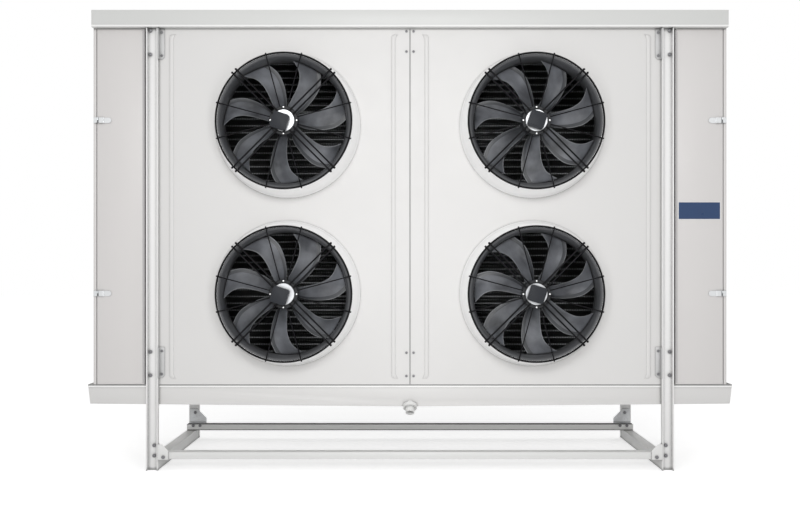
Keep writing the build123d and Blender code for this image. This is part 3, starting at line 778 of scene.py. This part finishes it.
    def motor(self) -> bpy.types.Object:
        """Dark flange with screw bosses, silver cap and the fixed shaft.

        Returns:
            The motor's fixed half.
        """
        front = self.rise + 2 * self.ring_wire_seat
        back = front - self.flange_wall
        shaft, flange, cap = self.shaft, self.flange, self.cap
        shape = Shape()
        shape.lathe([(shaft, self.rotor_low), (shaft, back), (flange - 0.004, back),
                     (flange, back + 0.004), (flange, front - 0.0025),
                     (flange - 0.0025, front), (cap + 0.0045, front),
                     (cap + 0.0035, front - 0.0015), (0.004, front - 0.0015),
                     (0.004, self.rotor_low)], 96)
        top = front + self.cap_wall
        shape.lathe([(0.004, front - 0.001), (cap, front - 0.001), (cap, front + 0.0025),
                     (cap - 0.0015, top), (0.004, top)], 96, [1] * 5)
        for quarter in range(4):
            turned = Matrix.Rotation(math.pi / 2 * quarter, 4, "Z")
            boss = Shape()
            boss.lathe([(0.0005, front - 0.001), (0.0072, front - 0.001),
                        (0.0062, front + 0.0012), (0.0005, front + 0.0012)], 16)
            shape.merge(boss, turned @ Matrix.Translation((self.screw_circle, 0, 0)))
            screw = Shape()
            screw.lathe([(0.0004, front), (0.0048, front), (0.0048, front + 0.0028),
                         (0.0036, front + 0.0042), (0.0004, front + 0.0046)], 12, [2] * 5)
            shape.merge(screw, turned @ Matrix.Translation((self.screw_circle, 0, 0.001)))
        return shape.piece(f"motor_{self.word}", (MOTOR_GREY, MOTOR_SILVER, SCREW_BRIGHT), "root",
                           "motor_stators", "motor_screws", matrix=self.place, sharp=40.0)

    def terminal_box(self) -> bpy.types.Object:
        """Rounded box with a lid seam and four recessed lid screws.

        Returns:
            The box.
        """
        base = self.rise + 2 * self.ring_wire_seat + self.cap_wall
        half, corner = self.box_side / 2, self.box_corner
        split, lid = base + self.box_split, base + self.box_rise
        width = self.box_split_width
        outline = rounded_square(half, corner, 6)
        shape = Shape()
        shape.prism(outline, base, split)
        shape.prism(rounded_square(half - width, corner - 0.001, 6), split - 0.0001,
                    split + width)
        shape.prism(outline, split + width - 0.0001, lid - width)
        panel = rounded_square(half - self.box_panel_inset, corner - 0.006, 6)
        shape.prism(panel, lid - 0.0018, lid)
        place = half - self.box_screw_inset
        for x, y in ((1, 1), (-1, 1), (-1, -1), (1, -1)):
            cap = Shape()
            cap.lathe([(0.0004, lid - 0.002), (0.0028, lid - 0.002), (0.0028, lid - 0.0012),
                       (0.0004, lid - 0.0008)], 10)
            shape.merge(cap, Matrix.Translation((x * place, y * place, 0)))
        turned = (self.place @ Matrix.Translation((*self.box_shift, 0.0))
                  @ Matrix.Rotation(math.radians(self.box_turn), 4, "Z"))
        return shape.piece(f"terminal_box_{self.word}", (BOX_BLACK,), "root", "terminal_boxes",
                           matrix=turned, bevel=0.0014, segments=3)

    def edges(self, radius: float) -> tuple[float, float]:
        """Angles in degrees of a blade's leading and trailing edges at a radius."""
        return (curve(LEADING_EDGE, radius), curve(TRAILING_EDGE, radius))

    def blade(self) -> Shape:
        """One sickle blade with a thick leading rim and a toothed trailing edge.

        Returns:
            The blade, in the local frame of the fan.
        """
        middle = (self.rotor_low + self.rotor_high) / 2
        single = Shape()
        front: list[Point] = []
        back: list[Point] = []
        for row in range(self.rows + 1):
            share = row / self.rows
            radius = self.root + (self.tip - self.root) * share
            leading, trailing = self.edges(radius)
            tooth = self.tooth if row % 2 and 0.12 < share < 0.97 else 0.0
            span = math.radians(trailing - leading) * radius - tooth
            slope = math.tan(math.radians(curve(BLADE_PITCH, radius)))
            for across in BLADE_SPREAD:
                angle = math.radians(leading) + across * span / radius
                lift = (across - 0.5) * span * slope
                belly = 4 * across * (1 - across)
                sag = -self.belly * span * belly
                rim = self.rim * math.exp(-((across - RIM_PLACE) / RIDGE_WIDTH) ** 2)
                groove = -self.groove * math.exp(-((across - GROOVE_PLACE) / RIDGE_WIDTH) ** 2)
                thick = 0.0006 + 0.0018 * belly ** 0.5
                x = radius * math.cos(angle)
                y = radius * math.sin(angle)
                front.append((x, y, middle + lift + sag + thick + rim + groove))
                back.append((x, y, middle + lift + sag - thick))
        single.points = front + back
        wide = len(BLADE_SPREAD)
        offset = len(front)
        for row in range(self.rows):
            for column in range(wide - 1):
                a = row * wide + column
                b = a + wide
                # Mark two paints a highlight along the blade's edges; mark one paints shade along
                # its leading margin.
                mark = 2 if column in (0, wide - 2) else 1 if column < SHADED_MARGIN_COLUMNS else 0
                single.add([], [(a, a + 1, b + 1, b)], mark)
                single.add([], [(offset + b, offset + b + 1, offset + a + 1, offset + a)], 0)
            left = row * wide
            right = left + wide - 1
            single.add([], [(left, left + wide, offset + left + wide, offset + left),
                            (right, offset + right, offset + right + wide, right + wide)], 2)
        for column in range(wide - 1):
            a = column
            b = self.rows * wide + column
            single.add([], [(a, offset + a, offset + a + 1, a + 1),
                            (b, b + 1, offset + b + 1, offset + b)], 0)
        return single

    def impeller(self) -> bpy.types.Object:
        """Rotor of the motor with its ring of seven blades.

        Returns:
            The impeller.
        """
        single = self.blade()
        shape = Shape()
        for index in range(self.blades):
            angle = math.radians(self.turn) + 2 * math.pi * index / self.blades
            shape.merge(single, Matrix.Rotation(angle, 4, "Z"))
        low, high, rotor = self.rotor_low, self.rotor_high, self.rotor
        shape.lathe([(0.013, low), (rotor - 0.006, low), (rotor, low + 0.006),
                     (rotor, high - 0.003), (rotor - 0.003, high), (0.013, high)], 72, [1] * 6)
        return shape.piece(f"blades_{self.word}", (BLADE_GREY, BLADE_SHADED_MARGIN, BLADE_RIM_HIGHLIGHT),
                           f"impeller_{self.word}_body", f"impeller_{self.word}",
                           matrix=self.place, sharp=40.0)


LEADING_EDGE = ((0.060, 37.0), (0.104, 35.5), (0.156, 38.5), (0.208, 42.0), (0.260, 46.5),
                (0.315, 54.5))
TRAILING_EDGE = ((0.060, 80.0), (0.104, 73.5), (0.156, 69.8), (0.208, 69.5), (0.260, 72.8),
                 (0.315, 81.5))
BLADE_PITCH = ((0.060, 46.0), (0.160, 38.0), (0.240, 29.0), (0.317, 21.0))
BLADE_SPREAD = (0.0, 0.03, 0.065, 0.11, 0.16, 0.20, 0.24, 0.30, 0.38, 0.46, 0.54, 0.62, 0.70,
                0.78, 0.86, 0.93, 0.975, 1.0)
RIM_PLACE = 0.035
GROOVE_PLACE = 0.20
RIDGE_WIDTH = 0.03
SHADED_MARGIN_COLUMNS = 5


def curve(knots: Sequence[tuple[float, float]], at: float) -> float:
    """Value of a smooth curve through knots.

    Args:
        knots: positions and values in rising order of position.
        at: position to read.

    Returns:
        The value there, with the end values kept outside the knots.
    """
    if at <= knots[0][0]:
        return knots[0][1]
    if at >= knots[-1][0]:
        return knots[-1][1]
    index = max(i for i, knot in enumerate(knots[:-1]) if knot[0] <= at)
    (x0, y0), (x1, y1) = knots[index], knots[index + 1]
    share = (at - x0) / (x1 - x0)
    before = knots[max(index - 1, 0)]
    after = knots[min(index + 2, len(knots) - 1)]
    start = (y1 - before[1]) / (x1 - before[0]) * (x1 - x0)
    end = (after[1] - y0) / (after[0] - x0) * (x1 - x0)
    s2, s3 = share * share, share ** 3
    return ((2 * s3 - 3 * s2 + 1) * y0 + (s3 - 2 * s2 + share) * start
            + (3 * s2 - 2 * s3) * y1 + (s3 - s2) * end)


def rounded_square(half: float, corner: float, steps: int) -> list[tuple[float, float]]:
    """Outline of a square with round corners.

    Args:
        half: half its side.
        corner: radius of its corners.
        steps: steps of each corner.

    Returns:
        The outline's points, counter-clockwise.
    """
    outline = []
    for quarter in range(4):
        centre = Matrix.Rotation(math.pi / 2 * quarter, 2) @ Vector((half - corner, half - corner))
        for step in range(steps + 1):
            angle = math.pi / 2 * (quarter + step / steps)
            outline.append((centre.x + corner * math.cos(angle),
                            centre.y + corner * math.sin(angle)))
    return outline


def ridge(path: Sequence[tuple[float, float]], face: float, half: float,
          rise: float) -> Shape:
    """Rounded bead that stands out of an upright sheet.

    Args:
        path: X and Z of its centre line.
        face: Y of the sheet.
        half: half its width.
        rise: how far it stands out.

    Returns:
        The bead.
    """
    steps = 8
    shape = Shape()
    points = []
    for index, (x, z) in enumerate(path):
        ahead = path[min(index + 1, len(path) - 1)]
        behind = path[max(index - 1, 0)]
        along = Vector((ahead[0] - behind[0], ahead[1] - behind[1])).normalized()
        taper = 0.4 if index in (0, len(path) - 1) else 1.0
        for step in range(steps + 1):
            angle = math.pi * step / steps
            across = half * taper * math.cos(angle)
            points.append((x + along.y * across, face - rise * taper * math.sin(angle),
                           z - along.x * across))
    count = steps + 1
    faces = [tuple(range(count)), tuple(reversed(range(len(points) - count, len(points))))]
    for index in range(len(path) - 1):
        for step in range(count):
            a = index * count + step
            b = index * count + (step + 1) % count
            faces.append((a, b, b + count, a + count))
    shape.add(points, faces)
    return shape


def knob(radius: float) -> Shape:
    """Small round wire end, as a shape round the origin."""
    shape = Shape()
    shape.lathe([(radius * max(math.sin(math.pi * k / 6), 0.02), -radius * math.cos(math.pi * k / 6))
                 for k in range(7)], 10)
    return shape


# ---------------------------------------------------------------- coil
@dataclass
class Coil:
    """Fins, tubes and return bends between and outside the tube plates."""

    reach: float = 1.372
    front: float = 0.0
    rear: float = 0.430
    bottom: float = 0.480
    top: float = 2.328
    fin_pitch: float = 0.010
    fin_wall: float = 0.0006
    tube_pitch: float = 0.040
    row_pitch: float = 0.043
    tube: float = 0.0048
    plate_face: float = 1.375

    def tube_places(self) -> list[tuple[float, float]]:
        """Depth and height of every tube.

        Returns:
            Pairs of y and z, in columns from the front to the rear.
        """
        columns = int((self.rear - self.front) / self.row_pitch)
        first = self.front + (self.rear - self.front - (columns - 1) * self.row_pitch) / 2
        levels = int((self.top - self.bottom) / self.tube_pitch) - 1
        places = []
        for column in range(columns):
            lift = self.tube_pitch / 2 if column % 2 else 0.0
            for level in range(levels):
                places.append((first + column * self.row_pitch,
                               self.bottom + self.tube_pitch * (0.75 + level) + lift))
        return places

    def build(self) -> None:
        """Build the fins, tubes and bends."""
        fins = Shape()
        count = int(2 * (self.reach - 0.004) / self.fin_pitch)
        start = -count * self.fin_pitch / 2
        for index in range(count + 1):
            x = start + index * self.fin_pitch
            fins.box((x - self.fin_wall / 2, self.front, self.bottom),
                     (x + self.fin_wall / 2, self.rear, self.top))
        fins.piece("coil_fins", (FIN_METAL,), "root", "fin_pack")
        tubes = Shape()
        for y, z in self.tube_places():
            tubes.tube([(-self.reach, y, z), (self.reach, y, z)], self.tube, 8)
        tubes.piece("coil_tubes", (TUBE_HIGHLIGHT_METAL,), "root", sharp=60.0)
        for side in Side:
            self.bends(side)

    def bends(self, side: Side) -> bpy.types.Object:
        """Return bends that join the tubes in pairs outside one tube plate.

        Args:
            side: the end of the coil.

        Returns:
            The bends.
        """
        shape = Shape()
        places = self.tube_places()
        levels = len({round(z, 4) for _, z in places}) // 2
        columns = [places[i:i + levels] for i in range(0, len(places), levels)]
        sign = side.value
        step = 0 if side is Side.LEFT else 1
        for column in columns:
            for index in range(step, len(column) - 1, 2):
                (y, z0), (_, z1) = column[index], column[index + 1]
                radius = (z1 - z0) / 2
                path = [(sign * self.plate_face, y, z0)]
                for k in range(9):
                    angle = math.pi * k / 8
                    path.append((sign * (self.plate_face + 0.012 + radius * math.sin(angle)), y,
                                 (z0 + z1) / 2 - radius * math.cos(angle)))
                path.append((sign * self.plate_face, y, z1))
                shape.tube(path, self.tube * 0.94, 8)
        return shape.piece(f"return_bends_{side.word}", (COPPER,), "root", sharp=60.0)


# ---------------------------------------------------------------- casing and stand
@dataclass
class Casing:
    """Folded sheets, doors, cover, pan and their small trim."""

    face: float = -0.445
    pan_rim: float = 0.455
    cover_end: float = 1.6875
    pan_end: float = 1.7165
    post_inside: float = 1.336
    post_outside: float = 1.402
    sunk: float = 0.0005
    hem_rise: float = 0.0032
    hem_lip: float = 0.0024
    hem_sunk: float = 0.0003
    joint_rise: float = 0.0006
    rim_joint: tuple[float, float] = (0.4494, 0.4548)
    seam_half: float = 0.0024
    seam_rise: float = 0.0009
    seam_ends: tuple[float, float] = (0.457, 2.351)
    strip_low: Point = (1.4153, -0.4457, 0.462)
    strip_high: Point = (1.4258, -0.4445, 2.346)
    bead_places: tuple[float, float] = (0.089, 1.273)
    bead_low: float = 0.487
    bead_high: float = 2.321
    bead_hook: float = 0.016
    bead_half: float = 0.0115
    bead_rise: float = 0.0048
    plate_low: Point = (1.430, -0.4465, 1.334)
    plate_high: Point = (1.656, -0.445, 1.429)
    plate_edge: float = 0.003

    def build(self) -> None:
        """Form every sheet, paint the rest and add the trim."""
        soften("top_cover", COVER_WHITE, "root")
        soften("mid_partition", GALVANISED, "root", 0.0004)
        soften("panel_screws", BOLT_DARK, "root")
        for node in ("drain_pan", "rear_cover_left"):
            soften(node, WHITE_SHEET, "root")
        for node in ("fan_panel_left", "fan_panel_right", "rear_cover_right"):
            paint(node, WHITE_SHEET)
        for node in ("drain_collar", "drain_outlet"):
            paint(node, OUTLET_WHITE)
        for node in ("suction_header", "liquid_header"):
            paint(node, COPPER)
        for side in Side:
            word = side.word
            soften(f"side_panel_{word}", DOOR_WHITE, "root")
            soften(f"door_{word}", DOOR_WHITE, f"door_{word}_body")
            soften(f"tube_plate_{word}", GALVANISED, "root")
            paint(f"hinge_leaves_{word}", HINGE_STEEL)
            paint(f"hinge_straps_{word}", HINGE_STEEL)
            for level in ("lower", "upper"):
                soften(f"panel_bracket_{level}_{word}", BRACKET_GREY, "root", 0.0008)
            self.beads(side)
            self.edge_strip(side)
        cover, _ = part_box("top_cover")
        self.hem("cover_hem", [(-self.cover_end, self.cover_end)], cover[1],
                 (cover[2] + 0.0004, cover[2] + 0.0012, cover[2] + 0.0115))
        self.hem("pan_hem", self.pan_spans(), self.face,
                 (self.pan_rim - 0.0155, self.pan_rim - 0.0140, self.pan_rim - 0.0065))
        self.joints()
        self.blank_plate()

    def pan_spans(self) -> list[tuple[float, float]]:
        """Ends in X of each length of the pan's rim that the front posts leave free."""
        inside, outside, end = self.post_inside, self.post_outside, self.pan_end
        return [(-end, -outside), (-inside, inside), (outside, end)]

    def joints(self) -> bpy.types.Object:
        """Dark grey strips on the joints between the two fan panels and along the pan's rim: painted
        shade in their grooves.

        Returns:
            The joints.
        """
        back = self.face + self.sunk
        shape = Shape()
        for x0, x1 in self.pan_spans():
            shape.box((x0, self.face - self.joint_rise, self.rim_joint[0]),
                      (x1, back, self.rim_joint[1]))
        shape.box((-self.seam_half, self.face - self.seam_rise, self.seam_ends[0]),
                  (self.seam_half, back, self.seam_ends[1]))
        return shape.piece("panel_joints", (JOINT_SHADE_GREY,), "root")

    def edge_strip(self, side: Side) -> bpy.types.Object:
        """Grey strip along the free edge of a door: painted shadow of the front post.

        Args:
            side: side of the door.

        Returns:
            The strip.
        """
        (x0, y0, z0), (x1, y1, z1) = self.strip_low, self.strip_high
        shape = Shape()
        shape.box((side.value * x0, y0, z0), (side.value * x1, y1, z1))
        return shape.piece(f"door_edge_strip_{side.word}", (DOOR_EDGE_SHADOW,),
                           f"door_{side.word}_body")

    def hem(self, name: str, spans: Sequence[tuple[float, float]], face: float,
            levels: tuple[float, float, float]) -> bpy.types.Object:
        """Folded hem along the front of a sheet piece, whiter as a painted highlight.

        Args:
            name: name of the piece.
            spans: ends of each length of the hem in X.
            face: Y of the sheet that carries the hem.
            levels: heights of the hem's foot at the sheet, of its lower corner
                and of its top.

        Returns:
            The hem.
        """
        foot, corner, crown = levels
        back, front = face + self.hem_sunk, face - self.hem_rise
        section = [(back, foot), (front, corner), (front, corner + self.hem_lip), (back, crown)]
        shape = Shape()
        for x0, x1 in spans:
            shape.add([(x, y, z) for x in (x0, x1) for y, z in section],
                      [(0, 1, 2, 3), (7, 6, 5, 4), (0, 4, 5, 1), (1, 5, 6, 2), (2, 6, 7, 3),
                       (3, 7, 4, 0)])
        return shape.piece(name, (HIGHLIGHT_WHITE,), "root")

    def beads(self, side: Side) -> bpy.types.Object:
        """Rounded beads over the pressed ones of a fan panel.

        Args:
            side: side of the panel.

        Returns:
            The beads.
        """
        shape = Shape()
        low, high = self.bead_low, self.bead_high
        for place in self.bead_places:
            x = side.value * place
            tip = x - side.value * self.bead_hook
            path = [(tip, low + 0.004), ((x + tip) / 2, low + 0.008), (x, low + 0.022),
                    (x, high - 0.022), ((x + tip) / 2, high - 0.008), (tip, high - 0.004)]
            shape.merge(ridge(path, self.face + self.hem_sunk, self.bead_half, self.bead_rise))
        return shape.piece(f"panel_beads_{side.word}", (WHITE_SHEET,), "root", sharp=60.0)

    def blank_plate(self) -> bpy.types.Object:
        """Bare enamel plate with a light edge on the right door.

        Returns:
            The plate.
        """
        (x0, y0, z0), (x1, y1, z1) = self.plate_low, self.plate_high
        edge = self.plate_edge
        shape = Shape()
        shape.box((x0, y0 + 0.0006, z0), (x1, y1, z1), 1)
        shape.box((x0 + edge, y0, z0 + edge), (x1 - edge, y0 + 0.0006, z1 - edge), 0)
        return shape.piece("blank_plate", (PLATE_BLUE, PLATE_WHITE), "door_right_body")


@dataclass
class Stand:
    """Posts, beams, gussets, shoes, bolts and the rear beam's strips of painted shadow."""

    strip_end: float = 0.004
    strip_rise: float = 0.0012
    strip_sunk: float = 0.0005
    top_strip_depth: float = 0.030
    top_strip_lap: float = 0.001
    foot_strip_height: float = 0.0035

    def build(self) -> None:
        """Form the stand's channels, plates and bolts and add the strips."""
        for side in Side:
            for node, finish, width in (
                    ("front_post", FRAME_WHITE, 0.0018), ("rear_post", FRAME_WHITE, 0.0018),
                    ("side_beam", BEAM_WHITE, 0.0015), ("front_gusset", BEAM_WHITE, 0.0010),
                    ("rear_gusset", GALVANISED, 0.0010), ("post_shoe", GALVANISED, 0.0010)):
                soften(f"{node}_{side.word}", finish, "root", width)
        soften("front_cross_beam", BEAM_WHITE, "root", 0.0030)
        # Painted light: the rear cross beam takes the whiter paint to lift it out of its shade.
        soften("rear_cross_beam", HIGHLIGHT_WHITE, "root", 0.0015)
        soften("frame_bolts", BOLT_DARK, "root")
        self.beam_shadow_strips()

    def beam_shadow_strips(self) -> bpy.types.Object:
        """Black strips of painted shadow on the top and foot of the rear cross beam.

        Returns:
            The strips.
        """
        (x0, y0, z0), (x1, _, z1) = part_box("rear_cross_beam")
        x0, x1 = x0 + self.strip_end, x1 - self.strip_end
        front = y0 - self.strip_rise
        shape = Shape()
        shape.box((x0, front, z1 - self.top_strip_lap),
                  (x1, y0 + self.top_strip_depth, z1 + self.strip_rise))
        shape.box((x0, front, z0), (x1, y0 + self.strip_sunk, z0 + self.foot_strip_height))
        return shape.piece("beam_shadow_strips", (BEAM_SHADOW_BLACK,), "root")


# ---------------------------------------------------------------- studio
@dataclass
class Studio:
    """Pale floor, soft light and the camera."""

    eye: Point = (0.0, -5.155, 1.065)
    lens: float = 39.74
    shift: tuple[float, float] = (-0.0125, 0.0094)
    world_strength: float = 0.62
    floor_tone: Colour = (0.80, 0.80, 0.80)
    floor_size: float = 60.0
    floor_lift: float = 0.53

    def build(self) -> None:
        """Build the studio."""
        self.camera()
        self.world()
        self.floor()
        self.lamp("key_softbox", (0.0, -9.2, 4.2), (0.0, -0.4, 1.2), 3.6, 1.6, 214.0)
        self.lamp("front_strip", (0.0, -2.9, 1.2), (0.0, -0.4, 1.1), 0.35, 2.1, 14.0)
        bpy.context.scene.view_settings.view_transform = "Standard"

    def camera(self) -> None:
        """Level camera in front of the middle of the cooler."""
        data = bpy.data.cameras.new("view")
        data.lens = self.lens
        data.sensor_width = 36.0
        data.shift_x, data.shift_y = self.shift
        data.clip_end = 200.0
        eye = bpy.data.objects.new("view", data)
        eye.location = self.eye
        eye.rotation_euler = (math.pi / 2, 0.0, 0.0)
        bpy.context.scene.collection.objects.link(eye)
        bpy.context.scene.camera = eye

    def world(self) -> None:
        """Even pale surroundings, white where they are seen."""
        made = bpy.data.worlds.new("studio")
        made.use_nodes = True
        bpy.context.scene.world = made
        net = Net(made.node_tree)
        back = made.node_tree.nodes["Background"].inputs
        back["Color"].default_value = (1.0, 1.0, 1.0, 1.0)
        net.feed(back["Strength"], net.spread(net.seen_directly(), 0.0, 1.0, self.world_strength))

    def floor(self) -> None:
        """Plain pale floor that keeps the cooler's soft shadow."""
        made = bpy.data.materials.new("studio_floor")
        made.use_nodes = True
        net = Net(made.node_tree)
        lift = net.maths("MULTIPLY", net.seen_directly(), self.floor_lift)
        values = {"Base Color": (*self.floor_tone, 1.0), "Roughness": 0.9,
                  "Specular IOR Level": 0.1, "Emission Color": (1.0, 1.0, 1.0, 1.0),
                  "Emission Strength": lift}
        for socket, value in values.items():
            net.feed(made.node_tree.nodes["Principled BSDF"].inputs[socket], value)
        half = self.floor_size / 2
        mesh = bpy.data.meshes.new("studio_floor")
        mesh.from_pydata([(-half, -half, 0), (half, -half, 0), (half, half, 0),
                          (-half, half, 0)], [], [(0, 1, 2, 3)])
        mesh.materials.append(made)
        plane = bpy.data.objects.new("studio_floor", mesh)
        bpy.context.scene.collection.objects.link(plane)

    @staticmethod
    def lamp(name: str, place: Point, target: Point, width: float, depth: float,
             power: float) -> None:
        """Add one soft rectangular lamp.

        Args:
            name: name of the lamp.
            place: where it hangs.
            target: what it points at.
            width: its width.
            depth: its other side.
            power: its power in watts.
        """
        data = bpy.data.lights.new(name, "AREA")
        data.shape = "RECTANGLE"
        data.size, data.size_y, data.energy = width, depth, power
        made = bpy.data.objects.new(name, data)
        made.location = place
        made.visible_camera = False
        aim = Vector(target) - Vector(place)
        made.rotation_euler = aim.to_track_quat("-Z", "Y").to_euler()
        bpy.context.scene.collection.objects.link(made)


FAN_PLACE = 0.651
FAN_LEVELS = {"upper": 1.835, "lower": 0.941}
FAN_TURN = {Side.LEFT: 0.0, Side.RIGHT: 3.5}
BOX_SHIFT = {Side.LEFT: (-0.016, -0.007), Side.RIGHT: (0.0, 0.0)}


def main() -> None:
    """Build the cooler and its studio."""
    logging.basicConfig(level=logging.INFO, format="%(name)s %(message)s")
    Studio().build()
    Stand().build()
    Casing().build()
    Coil().build()
    for level, height in FAN_LEVELS.items():
        for side in Side:
            Fan(f"{level}_{side.word}", side.value * FAN_PLACE, height,
                FAN_TURN[side], BOX_SHIFT[side]).build()


if __name__ == "__main__":
    main()
